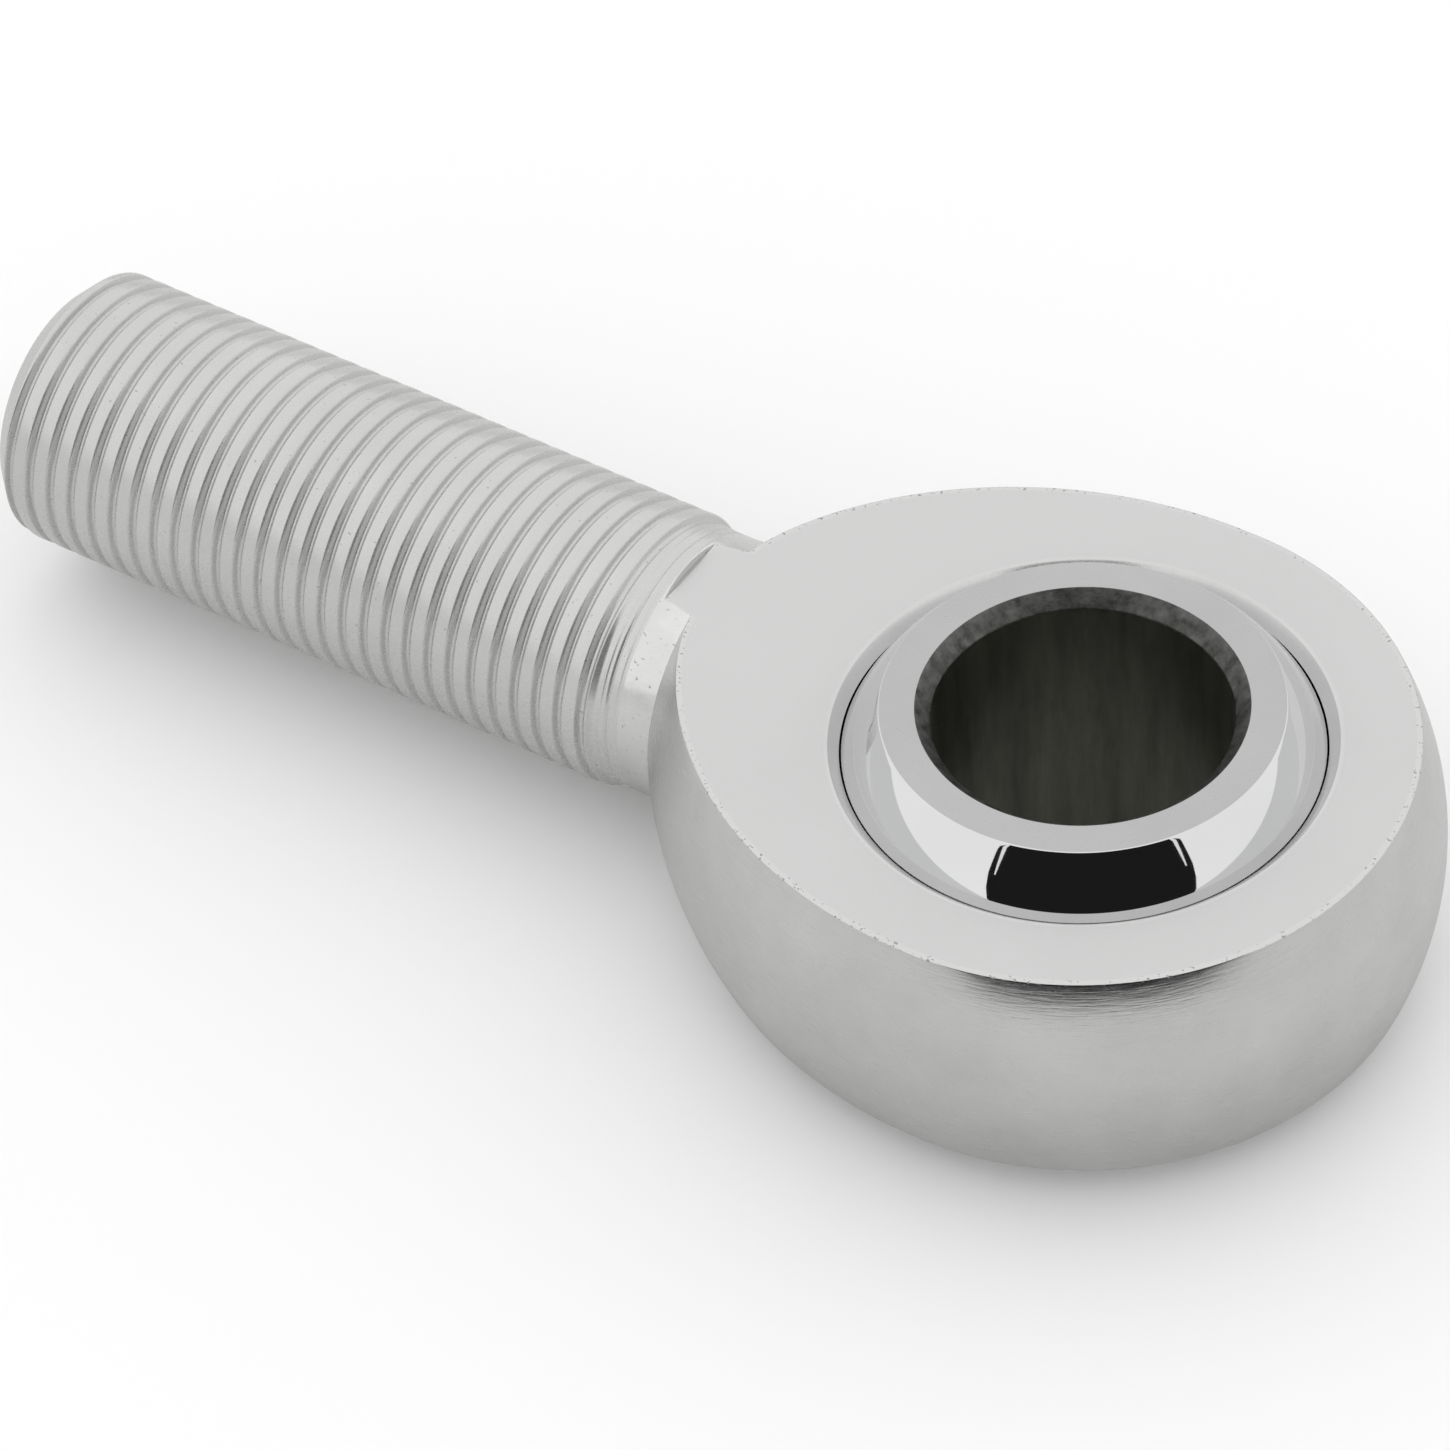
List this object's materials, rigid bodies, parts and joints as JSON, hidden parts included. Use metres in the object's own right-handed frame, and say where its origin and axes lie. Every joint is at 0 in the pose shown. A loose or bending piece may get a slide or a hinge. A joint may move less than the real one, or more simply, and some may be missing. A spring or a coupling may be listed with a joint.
{
  "type": "rod end bearing",
  "caption": "Male rod end bearing: threaded shank and round flat-sided head holding a swivelling steel ball with a through bore.",
  "frame": {"origin": "centre of the ball, on the axis of its bore", "axes": "+Z along the bore axis, +X along the shank towards its free end"},
  "size_m": [0.0858, 0.0381, 0.019],
  "materials": {
    "plated_steel": "bright zinc plate, turned head and machined flats",
    "ball_steel": "polished chrome sphere, ground faces, plain dark bore",
    "grease": "thin film of amber grease"
  },
  "bodies": {
    "body": {"body": "plated_steel"},
    "tilt_carrier": {"grease_shank_side": "grease"},
    "rock_carrier": {"grease_cross_side": "grease"},
    "ball": {"ball": "ball_steel"}
  },
  "joints": [
    {"name": "ball_tilt_about_shank", "type": "hinge", "parent": "body", "child": "tilt_carrier", "pos_m": [0, 0, 0], "axis": [1, 0, 0], "range_deg": [-15, 15]},
    {"name": "ball_tilt_across_shank", "type": "hinge", "parent": "tilt_carrier", "child": "rock_carrier", "pos_m": [0, 0, 0], "axis": [0, 1, 0], "range_deg": [-15, 15]},
    {"name": "ball_spin", "type": "hinge", "parent": "rock_carrier", "child": "ball", "pos_m": [0, 0, 0], "axis": [0, 0, 1], "continuous": true}
  ]
}
